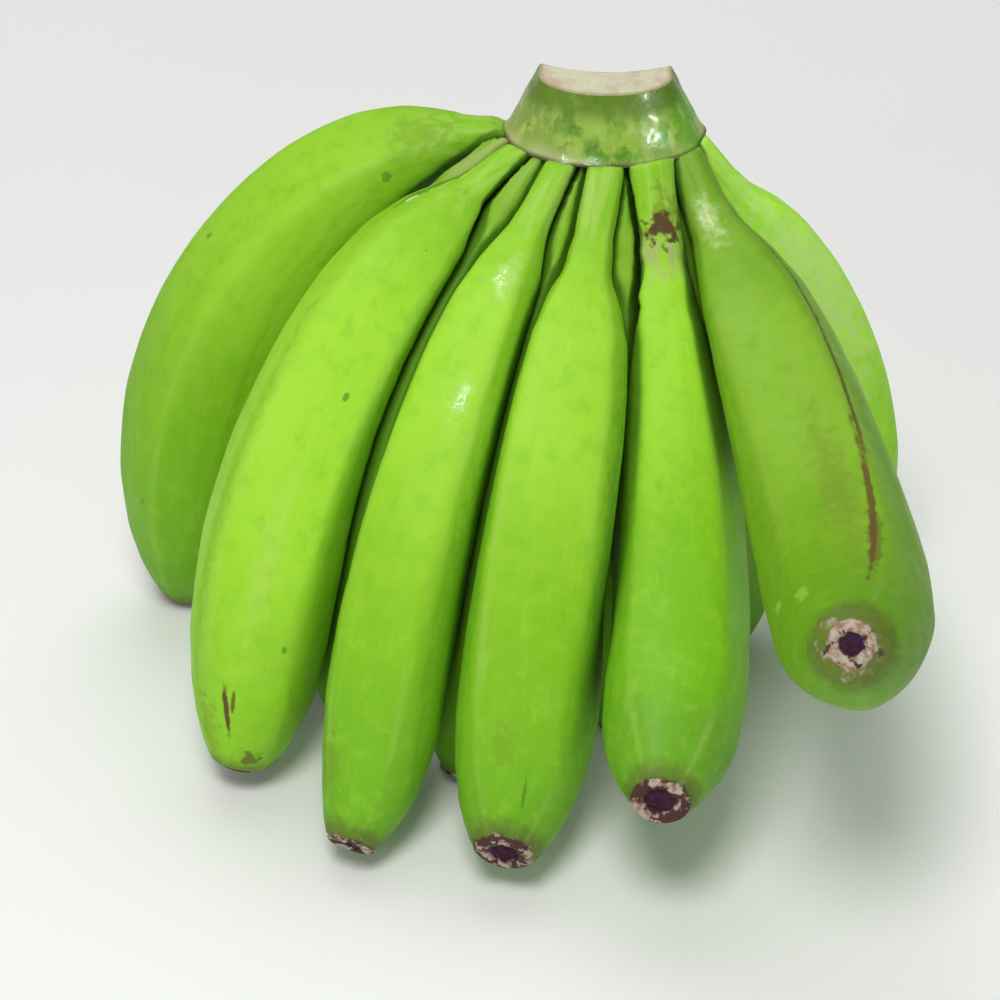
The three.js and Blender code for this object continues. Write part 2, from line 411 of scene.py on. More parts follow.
crown_low, crown_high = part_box("crown")
crown_half = (crown_high.x - crown_low.x) / 2
crown_x = (crown_high.x + crown_low.x) / 2
front_y = crown_low.y + FRONT_DEPTH  # middle of the half ellipse
underside = crown_low.z
CEILING_AT = (-4 * MM, -1 * MM, 0.3 * MM, 30 * MM)  # distance outside the crown's front
CEILING = (0.8 * MM, 0.4 * MM, 0.6 * MM, 33 * MM)  # highest place for a finger there
SOFT_CEILING = 1 * MM


def unit(vectors):
    """Vectors of the same direction, one long."""
    return vectors / np.linalg.norm(vectors, axis=-1, keepdims=True)


# ---------------------------------------------------------------- the CAD fingers' middle lines


def rings_of(node):
    """The rings of points round a CAD finger, from its root on, each in order round the finger."""
    bm = bmesh.new()
    bm.from_mesh(node.data)
    bmesh.ops.remove_doubles(bm, verts=bm.verts, dist=1e-6)
    poles = sorted((v for v in bm.verts if len(v.link_edges) >= CAD_SIDES), key=lambda v: v.co.z)
    tip, root = poles[0], poles[-1]
    seen = {root}
    front = {root}
    rings = []
    for _ in range(CAD_RINGS):
        front = {edge.other_vert(v) for v in front for edge in v.link_edges} - seen
        seen |= front
        here = min(front, key=lambda v: v.index)
        walked = [here]
        while len(walked) < len(front):
            near = (edge.other_vert(here) for edge in here.link_edges)
            here = next(v for v in near if v in front and v not in walked)
            walked.append(here)
        rings.append(np.array([v.co for v in walked]))
    root_point, tip_point = np.array(root.co), np.array(tip.co)
    bm.free()
    return root_point, rings, tip_point


def middle_of(ring, along):
    """The point where a ring's evenly spaced spokes meet. Pressing moved points along spokes only."""
    middle = ring.mean(0)
    side = unit(np.cross(ring[0] - middle, along))
    outward = np.cross(along, side)
    if np.cross(ring[0] - middle, ring[1] - middle) @ along > 0:
        ring = ring[::-1]
    spaced = np.arange(CAD_SIDES) * 2 * math.pi / CAD_SIDES
    for _ in range(MIDDLE_PASSES):
        x, y = (ring - middle) @ side, (ring - middle) @ outward
        turned = np.exp(1j * (np.arctan2(x, y) - spaced)).mean()
        angle = spaced + np.angle(turned)
        lines = np.stack([np.cos(angle), -np.sin(angle)], 1)
        shift = np.linalg.lstsq(lines, x * np.cos(angle) - y * np.sin(angle), rcond=None)[0]
        middle = middle + shift[0] * side + shift[1] * outward
    return middle


def centreline(node):
    """A smooth curve along the middle of a CAD finger, and the finger's widest radius."""
    root_point, rings, tip_point = rings_of(node)
    points = [root_point]
    widest = 0
    for before, ring, after in zip([rings[0]] + rings, rings, rings[1:] + rings[-1:]):
        _, spread, directions = np.linalg.svd(ring - ring.mean(0))
        along = directions[2] * np.sign(directions[2] @ (after.mean(0) - before.mean(0)))
        if ring is rings[0] or spread[2] / math.sqrt(CAD_SIDES) > FLAT_ENOUGH:
            continue
        middle = middle_of(ring, along)
        points.append(middle)
        widest = max(widest, np.linalg.norm(ring - middle, axis=1).max())
    if np.linalg.norm(tip_point - points[-1]) > TIP_SPACING:
        points.append(tip_point)
    points = np.array(points)
    steps = np.linalg.norm(np.diff(points, axis=0), axis=1)
    travelled = np.concatenate([[0], np.cumsum(steps)]) / steps.sum()
    curve = [np.polynomial.Polynomial.fit(travelled, points[:, axis], BENDS) for axis in range(3)]
    return curve, steps.sum(), widest


# ---------------------------------------------------------------- the fine fingers


def usual_radius(shares):
    """Radius of the usual finger at the shares of its length: the outline with its corners rounded."""
    outline = np.array(OUTLINE)
    fine = np.linspace(-OUTLINE_SPARE, 1 + OUTLINE_SPARE, OUTLINE_SAMPLES)
    width = int(OUTLINE_BLUR / (fine[1] - fine[0]))
    kernel = np.hanning(2 * width + 1)
    line = np.convolve(np.interp(fine, outline[:, 0], outline[:, 1]), kernel / kernel.sum(), "same")
    return np.interp(shares, fine, line) * MM


def pentagon(angle):
    """A pentagon with rounded corners, as a radius: 1 in the middle of its sides. angle in radians."""
    sides = angle[..., None] - np.arange(EDGES) * 2 * math.pi / EDGES
    return (np.maximum(np.cos(sides), 0) ** EDGE_SHARPNESS).sum(-1) ** (-1 / EDGE_SHARPNESS)


def finger_frame(name):
    """A finger's middle line at each row, with the directions of its side and of its outer face."""
    curve, length, widest = centreline(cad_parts[name])
    share = np.concatenate(
        [
            np.linspace(0, END_STARTS, ROWS_TO_END, endpoint=False),
            np.linspace(END_STARTS, 1, ROWS_IN_END + 1),
        ]
    )
    look = FINGERS[name]
    middle = np.stack([line(share * look.kept) for line in curve], 1)
    along = unit(np.stack([line.deriv()(share * look.kept) for line in curve], 1))
    half = len(share) // 2
    outward = np.empty_like(along)
    outward[half] = unit(np.array((0, 0, 1)) - along[half, 2] * along[half])
    for rows in (range(half + 1, len(share)), range(half - 1, -1, -1)):
        last = outward[half]
        for row in rows:
            last = unit(last - (last @ along[row]) * along[row])
            outward[row] = last
    usual_share = np.interp(share, (0, look.stalk, HALFWAY, 1), (0, USUAL_STALK, HALFWAY, 1))
    radius = usual_radius(usual_share)
    girth = widest / CAD_GIRTH
    radius *= np.interp(usual_share, GIRTH_CHANGES, (look.stalk_girth, girth))
    radius *= 1 + look.full_end * np.interp(share, FULL_END_AT, (0, 1, 0))
    along, outward, middle = turned_end(look.end_turn, share, length, along, outward, middle)
    return SimpleNamespace(
        name=name,
        look=look,
        length=length,
        share=share,
        radius=radius,
        middle=middle,
        along=along,
        outward=outward,
        side=np.cross(outward, along),
    )


def turned_end(end_turn, share, length, along, outward, middle):
    """Curls the end of a finger towards its outer face."""
    rise = np.clip((share - END_TURN_STARTS) / (1 - END_TURN_STARTS), 0, 1)
    turn = math.radians(end_turn) * rise[:, None] ** END_TURN_POWER
    curled = along * np.cos(turn) + outward * np.sin(turn)
    steps = np.diff(share, prepend=0)[:, None] * length
    moved = middle + np.cumsum((curled - along) * steps, 0)
    return curled, outward * np.cos(turn) - along * np.sin(turn), moved


def closeness(points, middle, radius):
    """How far points are from a middle line, in the finger's own radius, and that radius."""
    squared = (points**2).sum(1)[:, None] + (middle**2).sum(1) - 2 * points @ middle.T
    share = np.sqrt(np.maximum(squared, 0)) / radius
    nearest = share.argmin(1)
    return share[np.arange(len(points)), nearest], radius[nearest]


def room(others, starts, spokes, own_radius):
    """How far each spoke can go before it meets another finger. A point belongs to the finger whose
    middle line is nearest, counted in that finger's radius."""
    middle = np.concatenate([other.middle[::NEIGHBOUR_STEP] for other in others]).astype(np.float32)
    radius = np.concatenate([other.radius[::NEIGHBOUR_STEP] for other in others]).astype(np.float32)

    def taken(reach, rows):
        points = (starts[rows] + spokes[rows] * reach[:, None]).astype(np.float32)
        theirs, their_radius = closeness(points, middle, radius)
        margin = GAP / 2 * (1 / own_radius[rows] + 1 / their_radius)
        return theirs - reach / own_radius[rows] < margin

    free = np.zeros(len(starts))
    limit = REACH_LIMIT * own_radius
    blocked = limit.copy()
    open_rows = np.arange(len(starts))
    for step in range(1, REACH_STEPS + 1):
        reach = limit[open_rows] * step / REACH_STEPS
        hit = taken(reach, open_rows)
        blocked[open_rows[hit]] = reach[hit]
        free[open_rows[~hit]] = reach[~hit]
        open_rows = open_rows[~hit]
    meets = np.flatnonzero(free < blocked)
    for _ in range(REACH_HALVINGS):
        reach = (free[meets] + blocked[meets]) / 2
        hit = taken(reach, meets)
        blocked[meets[hit]] = reach[hit]
        free[meets[~hit]] = reach[~hit]
    free[open_rows] = FREE_REACH * limit[open_rows]
    return free


def softly_least(first, second, softness):
    """The smaller of two numbers, rounded off where they are nearly alike."""
    return (first + second - np.sqrt((first - second) ** 2 + softness**2)) / 2


def uneven(places, seed):
    """Smooth noise between about -1 and 1 at each place."""
    return np.array([noise.noise(Vector(place) + Vector((seed, 0, 0))) for place in places])


def lumpy(places, pattern, seed):
    """Unevenness in several sizes, at each place."""
    return sum(height * uneven(places * count, seed * place) for count, place, height in pattern)


def natural_reach(finger, own_radius, number):
    """How far a finger's spokes go where nothing presses on it."""
    edged = pentagon(ANGLES - math.radians(finger.look.edge_turn))
    depth = np.interp(finger.share, EDGE_SHARES, EDGE_DEPTHS)
    shape = 1 + depth[:, None] * (edged / edged.mean() - 1)
    sideways = np.tile(ACROSS, (len(finger.share), 1)) * own_radius[:, None]
    straight = np.column_stack([sideways, np.repeat(finger.share * finger.length, AROUND)])
    return own_radius * shape.reshape(-1) * (1 + UNEVENNESS * lumpy(straight, LUMPS, number))


def kept_below_crown(points):
    """The height of points, lowered where they would reach the crown."""
    from_crown = np.hypot((points[:, 0] - crown_x) / crown_half, (points[:, 1] - front_y) / FRONT_DEPTH)
    ceiling = underside + np.interp((from_crown - 1) * FRONT_DEPTH, CEILING_AT, CEILING)
    return softly_least(points[:, 2], ceiling, SOFT_CEILING)


def scar_rings(finger, spokes, rim, number):
    """The rings of the scar at a finger's tip, from its rim inwards."""
    rings = []
    for row, (radius, height) in enumerate(SCAR_ROWS, 1):
        inner = row >= SCAR_RAGGED_FROM
        count, push = SCAR_INNER_LUMPS if inner else SCAR_RIM_LUMPS
        place = np.column_stack([ACROSS * count, np.full(AROUND, row * SCAR_LUMP_SPACING)])
        rough = 1 + push * uneven(place, number)
        ragged = height + SCAR_RAGGEDNESS * inner * uneven(place * SCAR_FINE_LUMPS, number + 5)
        outward = spokes * (radius * MM * rim * rough)[:, None]
        rings.append(finger.middle[-1] + outward + finger.along[-1] * (ragged * MM)[:, None])
    return rings


def finger_piece(finger, others, number):
    """The fine mesh of a finger, with its straight coordinates kept for the peel's pattern."""
    spokes = ACROSS[None, :, :1] * finger.side[:, None] + ACROSS[None, :, 1:] * finger.outward[:, None]
    spokes = spokes.reshape(-1, 3)
    starts = np.repeat(finger.middle, AROUND, 0)
    own_radius = np.repeat(finger.radius, AROUND)
    natural = natural_reach(finger, own_radius, number)
    free = room(others, starts, spokes, own_radius)
    reach = softly_least(natural, free, np.minimum(SOFT_PRESS, own_radius * SOFTEST_PRESS))
    sides = starts + spokes * reach[:, None]
    sides[:, 2] = kept_below_crown(sides)
    sides[-AROUND:] += (finger.middle[-1] - sides[-AROUND:]) * (1 - finger.look.scar)

    rim = reach[-AROUND:] / finger.radius[-1] * finger.look.scar
    scar = scar_rings(finger, spokes[-AROUND:], rim, number)
    pole = finger.middle[-1] + finger.along[-1] * SCAR_ROWS[-1][1] * MM
    points = np.concatenate([sides, *scar, [pole]])
    points[:, 2] = np.maximum(points[:, 2], 0)
    rings = len(finger.share) + len(scar)
    faces = ring_faces(rings, AROUND) + fan((rings - 1) * AROUND, AROUND, len(points) - 1)
    faces.append(tuple(range(AROUND))[::-1])
    piece = mesh_object(finger.name + "_peel", points, faces)

    in_scar = len(points) - len(sides)
    past_end = 1 + np.arange(1, len(scar) + 1) * SCAR_STEP
    share = np.append(finger.share, past_end).repeat(AROUND)
    share = np.append(share, 1 + (len(scar) + 1) * SCAR_STEP)
    around = np.concatenate([np.tile(ACROSS, (rings, 1)), [(0, 1)]])
    radius = np.append(own_radius, np.full(in_scar, finger.radius[-1]))
    skin = np.column_stack([around * radius[:, None], share * finger.length])
    add_attribute(piece, "peel", np.column_stack([around, share]))
    add_attribute(piece, "skin", skin + number * np.array(PATTERN_SHIFT))
    # How far neighbours pushed each spoke in, which sets the painted shade in the creases.
    add_attribute(piece, "pressed", np.append(1 - reach / natural, np.zeros(in_scar)))
    return piece


def add_attribute(piece, label, values):
    """Keeps a number or a vector for each point of a piece."""
    kind, field = ("FLOAT", "value") if values.ndim == 1 else ("FLOAT_VECTOR", "vector")
    attribute = piece.data.attributes.new(label, kind, "POINT")
    attribute.data.foreach_set(field, values.astype(np.float32).reshape(-1))


def ring_faces(rings, count):
    """Quads between rings of the same number of points, stored one ring after another."""
    return [
        (
            ring * count + i,
            ring * count + (i + 1) % count,
            (ring + 1) * count + (i + 1) % count,
            (ring + 1) * count + i,
        )
        for ring in range(rings - 1)
        for i in range(count)
    ]


def fan(start, count, pole):
    """Triangles between a ring of points and a single point."""
    return [(start + i, start + (i + 1) % count, pole) for i in range(count)]


def mesh_object(name, points, faces):
    """A smooth-shaded mesh object whose faces look outwards."""
    mesh = bpy.data.meshes.new(name)
    mesh.from_pydata([tuple(point) for point in points], [], faces)
    bm = bmesh.new()
    bm.from_mesh(mesh)
    bmesh.ops.recalc_face_normals(bm, faces=bm.faces)
    bm.to_mesh(mesh)
    bm.free()
    mesh.polygons.foreach_set("use_smooth", [True] * len(mesh.polygons))
    piece = bpy.data.objects.new(name, mesh)
    bpy.context.scene.collection.objects.link(piece)
    return piece


# ---------------------------------------------------------------- the crown


def closed_outline(front, dip):
    """The front line of an outline with a curved back added, dipping towards the front."""
    across = np.linspace(0, 1, CROWN_BACK_POINTS + 2)[1:-1, None]
    control = np.array([(0, front[0, 1] - dip)])
    back = front[-1] * (1 - across) ** 2 + control * 2 * across * (1 - across) + front[0] * across**2
    return np.concatenate([front, back])


def crown_outlines():
    """The crown's outlines at its foot and at its cut face, from the middle of its half ellipse."""
    turn = np.radians(np.linspace(180 - CROWN_END_ANGLE, 360 + CROWN_END_ANGLE, CROWN_ROUND_POINTS))
    round_front = np.stack([np.cos(turn), np.sin(turn)], 1)
    foot = closed_outline(round_front * (crown_half, FRONT_DEPTH), -FOOT_BULGE)
    square_front = np.sign(round_front) * np.abs(round_front) ** FACE_SQUARENESS
    square_front[:, 1] = square_front[:, 1] * FACE_END_DEPTH + square_front[:, 0] ** 2 * FACE_BOW
    square_front[:, 0] *= FACE_HALF_WIDTH
    square_front[:, 1] += FACE_FRONT - FRONT_DEPTH + FACE_END_DEPTH
    return foot, closed_outline(square_front, FACE_DIP)


def crown_piece():
    """The crown: a rounded lip below, straight sides, and a cut face with a crisp edge on top."""
    foot, face = crown_outlines()
    count = len(foot)
    height = crown_high.z - underside
    inward = unit(np.roll(foot, -1, 0) - np.roll(foot, 1, 0))
    inward = np.stack([-inward[:, 1], inward[:, 0]], 1)
    points = []
    marks = []

    def add_ring(up, inset, spread, wall):
        """A ring at a height, moved inwards and shrunk towards the middle of its outline."""
        outline = foot + (face - foot) * up / height
        outline += inward * (inset - FLARE * (1 - min(up / FLARE_HEIGHT, 1)) ** 2)
        middle = outline.mean(0)
        ring = middle + (outline - middle) * spread + (crown_x, front_y)
        points.append(np.column_stack([ring, np.full(count, underside + up)]))
        marks.append(np.tile((up / height, 1 - spread, wall), (count, 1)))

    for spread in UNDERSIDE_SPREADS:
        add_ring(0, LIP, spread, 0)
    for turn in np.radians(LIP_TURNS):
        add_ring(LIP * (1 + math.sin(turn)), LIP * (1 - math.cos(turn)), 1, 1)
    for up in np.linspace(SIDE_STARTS, height - 2 * CUT_EDGE, SIDE_RINGS):
        add_ring(up, 0, 1, 1)
    for turn in np.radians(CUT_EDGE_TURNS):
        add_ring(height - CUT_EDGE * (1 - math.sin(turn)), CUT_EDGE * (1 - math.cos(turn)), 1, 1)
    for spread in FACE_SPREADS:
        add_ring(height, CUT_EDGE, spread, 0)
    rings = len(points)
    points = np.concatenate(points)
    marks = np.concatenate(marks)

    out = unit(points[:, :2] - (crown_x, front_y))
    lumps = lumpy(points, RIND_LUMPS, 1)
    ribs = np.cos(np.arctan2(out[:, 0], -out[:, 1]) * RIBS) * (1 - marks[:, 0]) ** 2
    push = (RIND_LUMP_HEIGHT * lumps + RIB_HEIGHT * ribs) * marks[:, 2]
    points[:, :2] += out * push[:, None]
    on_face = marks[:, 0] == 1
    from_rim = np.minimum(marks[on_face, 1] * FACE_LUMPS_GROW, 1)
    points[on_face, 2] += FACE_LUMP_HEIGHT * lumpy(points[on_face], FACE_LUMPS, 1) * from_rim

    points = np.concatenate([points, [points[:count].mean(0), points[-count:].mean(0)]])
    marks = np.concatenate([marks, [(0, 1, 0), (1, 1, 0)]])
    faces = ring_faces(rings, count) + fan(0, count, len(points) - 2)
    faces += fan((rings - 1) * count, count, len(points) - 1)
    piece = mesh_object("crown_flesh", points, faces)
    add_attribute(piece, "crown", marks)
    return piece


# ---------------------------------------------------------------- materials


# Places of a Mix node's sockets for colours, because several of its sockets share a name.
MIX_COLOURS = (6, 7)
MIX_RESULT = 2


class Shader:
    """A material written as calls. Each call adds one node, and gives back its first output."""

    def __init__(self, name):
        self.material = bpy.data.materials.new(name)
        self.material.use_nodes = True
        self.tree = self.material.node_tree
        self.surface = self.tree.nodes["Principled BSDF"]

    def node(self, kind, inputs, **settings):
        node = self.tree.nodes.new("ShaderNode" + kind)
        for name, value in settings.items():
            setattr(node, name, value)
        for key, value in inputs.items():
            self.plug(node.inputs[key], value)
        return node

    def plug(self, socket, value):
        if isinstance(value, bpy.types.NodeSocket):
            self.tree.links.new(value, socket)
        elif socket.type == "RGBA":
            socket.default_value = (*value, 1)
        else:
            socket.default_value = value

    def attribute(self, name, output="Vector"):
        return self.node("Attribute", {}, attribute_name=name).outputs[output]

    def parts(self, vector):
        return self.node("SeparateXYZ", {0: vector}).outputs

    def math(self, operation, *values):
        return self.node("Math", dict(enumerate(values)), operation=operation).outputs[0]

    def vectors(self, operation, first, second):
        return self.node("VectorMath", {0: first, 1: second}, operation=operation).outputs[0]

    def scaled(self, vector, scale):
        return self.vectors("MULTIPLY", vector, scale)

    def remap(self, value, low, high, to_low=0.0, to_high=1.0):
        """Softly to_low where value is low, to to_high where it is high."""
        inputs = {"Value": value, "From Min": low, "From Max": high, "To Min": to_low, "To Max": to_high}
        return self.node("MapRange", inputs, interpolation_type="SMOOTHSTEP").outputs[0]

    def noise(self, vector, scale, detail=2.0, roughness=0.5, along=None):
        """Noise with scale features to the metre, and along times as many lengthwise."""
        if along is not None:
            vector = self.scaled(vector, (1, 1, along))
        inputs = {"Vector": vector, "Scale": scale, "Detail": detail, "Roughness": roughness}
        return self.node("TexNoise", inputs).outputs["Fac"]

    def warp(self, vector, scale):
        return self.node("TexNoise", {"Vector": vector, "Scale": scale}).outputs["Color"]

    def cells(self, vector, scale):
        return self.node("TexVoronoi", {"Vector": vector, "Scale": scale}).outputs

    def mix(self, share, first, second):
        """The first colour where share is 0, the second where it is 1."""
        node = self.node("Mix", {0: share}, data_type="RGBA")
        for place, colour in zip(MIX_COLOURS, (first, second)):
            self.plug(node.inputs[place], colour)
        return node.outputs[MIX_RESULT]

    def lay(self, colour, over, value, low, high, strength=1.0):
        """A colour with another laid over it where value is high, and not where it is low."""
        return self.mix(self.remap(value, low, high, 0, strength), colour, over)

    def ramp(self, value, stops):
        """A colour for each value: stops are (place, colour)."""
        node = self.node("ValToRGB", {0: value})
        elements = node.color_ramp.elements
        while len(elements) < len(stops):
            elements.new(0.5)
        for element, (place, colour) in zip(elements, stops):
            element.position = place
            element.color = (*colour, 1)
        return node.outputs[0]

    def bump(self, height, distance, under=None):
        inputs = {"Height": height, "Distance": distance}
        if under is not None:
            inputs["Normal"] = under
        return self.node("Bump", inputs).outputs[0]

    def finish(self, colour, roughness, normal, **fixed):
        self.plug(self.surface.inputs["Base Color"], colour)
        self.plug(self.surface.inputs["Roughness"], roughness)
        self.plug(self.surface.inputs["Normal"], normal)
        for name, value in fixed.items():
            self.surface.inputs[name].default_value = value
        return self.material


def peel_material(name, look):
    """Waxy green peel with a corky scar at the tip, and this finger's own marks."""
    s = Shader(name)
    peel = peel_patterns(s)
    colour = peel_colour(s, peel, look)
    rough = s.remap(peel.wax, 0.4, 0.6, *PEEL_ROUGHNESS)
    colour, rough, shine = marked(s, peel, look.marks, colour, rough)
    colour, rough, ring = scarred(s, peel, look.beige, colour, rough)
    normal = peel_relief(s, peel, ring, shine)
    return s.finish(colour, rough, normal, **{"Specular IOR Level": PEEL_SPECULAR})


def peel_patterns(s):
    """Where a point is on its finger, and the noises that the peel's colour and relief are made of."""
    sine, cosine, share = s.parts(s.attribute("peel"))
    skin = s.attribute("skin")
    place = s.node("TexCoord", {}).outputs["Object"]
    return SimpleNamespace(
        share=share,
        angle=s.math("ARCTAN2", sine, cosine),
        skin=skin,
        place=place,
        clouds=s.noise(skin, 40, detail=3, along=0.5),
        wax=s.noise(skin, 120, detail=3, roughness=0.6, along=0.4),
        mottle=s.noise(skin, 210, detail=4, roughness=0.6),
        strands=s.noise(skin, 500, along=0.1),
        fibres=s.noise(skin, 700, along=0.04),
        grain=s.noise(place, 280, detail=3, roughness=0.6),
        ragged=s.noise(place, 420, detail=3),
        spots=s.noise(place, 600),
    )


def peel_colour(s, peel, look):
    """Green that is yellower where the finger is widest and deeper at its end, with faint lengthwise
    fibres, mottling, long edges and freckles, and shade where another finger presses on it."""
    drift = s.math("MULTIPLY", s.math("SUBTRACT", peel.clouds, 0.5), DRIFT)
    colour = s.ramp(s.math("ADD", s.math("MULTIPLY", peel.share, look.fade), drift), GREENS)
    colour = s.lay(colour, PALE, peel.fibres, 0.5, 0.8, strength=0.12)
    colour = s.lay(colour, DEEP, peel.mottle, 0.48, 0.72, strength=0.3)
    colour = s.lay(colour, BRIGHT, peel.mottle, 0.5, 0.3, strength=0.2)
    patchy = s.math("MULTIPLY", s.remap(peel.clouds, 0.4, 0.65), EDGE_PALENESS)
    colour = s.mix(s.math("MULTIPLY", edge_lines(s, peel.angle, look.edge_turn), patchy), colour, PALE)
    on_stalk = s.remap(peel.share, 0.08, 0.2, 0.4, 0)
    colour = s.mix(s.math("MULTIPLY", on_stalk, s.remap(peel.strands, 0.42, 0.62)), colour, PALE)
    if look.tone != 1:
        colour = s.scaled(colour, (look.tone,) * 3)
    # Painted shade in the creases where another finger presses on this one.
    colour = s.lay(colour, PAINTED_SHADE_AND_DARK_MARKS, s.attribute("pressed", "Fac"), 0.045, 0.115, strength=0.8)
    return s.mix(freckles(s, peel.skin), colour, FRECKLE)


def edge_lines(s, angle, edge_turn):
    """1 on a finger's long edges and 0 beside them."""
    turned = s.math("ADD", angle, math.radians(180 / EDGES - edge_turn + TWO_TURNS))
    return s.remap(s.math("PINGPONG", turned, math.pi / EDGES), 0.0, EDGE_LINE, 1, 0)


def freckles(s, skin):
    """Dots of different sizes, a little out of round. Most of the cells have none."""
    bent = s.vectors("ADD", skin, s.scaled(s.warp(skin, 300), (FRECKLE_BEND,) * 3))
    dots = s.cells(bent, 75)
    size = s.remap(s.parts(dots["Color"])[0], 0.7, 1.0, 0.0, 0.11)
    return s.remap(s.math("SUBTRACT", size, dots["Distance"]), 0.0, 0.03, 0, 0.6)


def marked(s, peel, marks, colour, rough):
    """Lays a finger's marks on its peel. The third result is where they shine, if any do."""
    shine = None
    for mark in marks:
        inside = mark_mask(s, peel, mark)
        if mark.gloss:
            shine = inside if shine is None else s.math("MAXIMUM", shine, inside)
        if mark.streaks:
            inside = s.math("MULTIPLY", inside, s.remap(peel.strands, 0.35, 0.52))
        colour = s.mix(s.math("MULTIPLY", inside, mark.strength), colour, mark.colour)
        change = GLOSS if mark.gloss else MARK_DULLNESS
        rough = s.math("ADD", rough, s.math("MULTIPLY", inside, change))
    return colour, rough, shine


def mark_mask(s, peel, mark):
    """1 inside a mark's ragged oval and 0 outside."""
    down = s.math("DIVIDE", s.math("SUBTRACT", peel.share, mark.share), mark.length / 2)
    turned = s.math("SUBTRACT", peel.angle, math.radians(mark.angle))
    turned = s.math("SUBTRACT", turned, s.math("MULTIPLY", down, math.radians(mark.lean)))
    wrapped = s.math("ARCTAN2", s.math("SINE", turned), s.math("COSINE", turned))
    across = s.math("DIVIDE", wrapped, math.radians(mark.width) / 2)
    squares = s.math("ADD", s.math("MULTIPLY", down, down), s.math("MULTIPLY", across, across))
    far = s.math("SQRT", squares)
    fray = s.math("MULTIPLY", s.math("SUBTRACT", peel.ragged, 0.5), mark.fray)
    return s.remap(s.math("ADD", far, fray), 1 - mark.soft, 1.0, 1, 0)


def scarred(s, peel, beige, colour, rough):
    """Adds the corky ring and the dark heart at a finger's tip. The third result is where the ring is."""
    fray = s.math("MULTIPLY", s.math("SUBTRACT", peel.ragged, 0.5), SCAR_FRAY)
    frayed = s.math("ADD", peel.share, fray)
    ring = s.remap(frayed, *SCAR_BEGINS)
    heart = s.remap(s.math("ADD", peel.share, s.math("MULTIPLY", fray, 0.8)), *HEART_BEGINS)
    cork = s.lay(BEIGE, CORK, peel.spots, 0.4, 0.65)
    cork = s.lay(cork, UMBER, peel.grain, 0.32 + 0.3 * beige, 0.4 + 0.3 * beige)
    core = s.lay(MAROON, PLUM, peel.spots, 0.45, 0.6)
    colour = s.lay(colour, SCORCHED, frayed, *SCORCH_BEGINS, strength=0.75)
    colour = s.mix(heart, s.mix(ring, colour, cork), core)
    return colour, s.math("MAXIMUM", rough, s.remap(ring, 0, 1, 0, DULL)), ring


def peel_relief(s, peel, ring, shine):
    """Fibres and cork over the shallow dents of the wax, which are deeper where it shines."""
    fine = s.math("MULTIPLY", s.noise(peel.skin, 1500), 0.2)
    height = s.math("ADD", s.math("MULTIPLY", peel.fibres, 0.5), fine)
    height = s.math("ADD", height, s.math("MULTIPLY", s.math("MULTIPLY", ring, peel.grain), 4.0))
    dents = s.bump(peel.wax, WAX_DENTS)
    if shine is not None:
        shining = s.math("MULTIPLY", shine, s.noise(peel.place, 420, detail=1))
        dents = s.bump(shining, SHINE_DENTS, under=dents)
    return s.bump(height, FIBRE_RELIEF, under=dents)


def crown_material():
    """Glossy mottled rind, and dull flesh where the knife cut."""
    s = Shader("crown_tissue")
    up, inside, wall = s.parts(s.attribute("crown"))
    place = s.node("TexCoord", {}).outputs["Object"]
    clouds = s.noise(place, 110, detail=4, roughness=0.6)
    bundles = s.cells(place, 900)["Distance"]
    cut = cut_mask(s, up, wall)
    colour = s.mix(cut, rind_colour(s, place, up, clouds), flesh_colour(s, place, inside, bundles))
    rind_rough = s.remap(clouds, 0.35, 0.65, *RIND_ROUGHNESS)
    rough = s.math("MAXIMUM", rind_rough, s.math("MULTIPLY", cut, DULL))
    height = s.math("ADD", clouds, s.math("MULTIPLY", s.noise(place, 1400), 0.15))
    height = s.math("ADD", height, s.math("MULTIPLY", s.math("MULTIPLY", cut, bundles), 0.5))
    normal = s.bump(height, RIND_RELIEF)
    return s.finish(colour, rough, normal, **{"Coat Weight": COAT, "Coat Roughness": COAT_ROUGHNESS})


def cut_mask(s, up, wall):
    """1 on the cut face and on the back, where the hand was split from its stem, and 0 on the rind."""
    on_face = s.math("MULTIPLY", s.remap(up, 0.975, 0.992), s.remap(wall, 0.4, 0.9, 1, 0.75))
    normals = s.parts(s.node("NewGeometry", {}).outputs["Normal"])
    behind = s.math("MULTIPLY", s.remap(normals[1], 0.35, 0.6), s.remap(up, 0.02, 0.1))
    return s.math("MAXIMUM", on_face, behind)


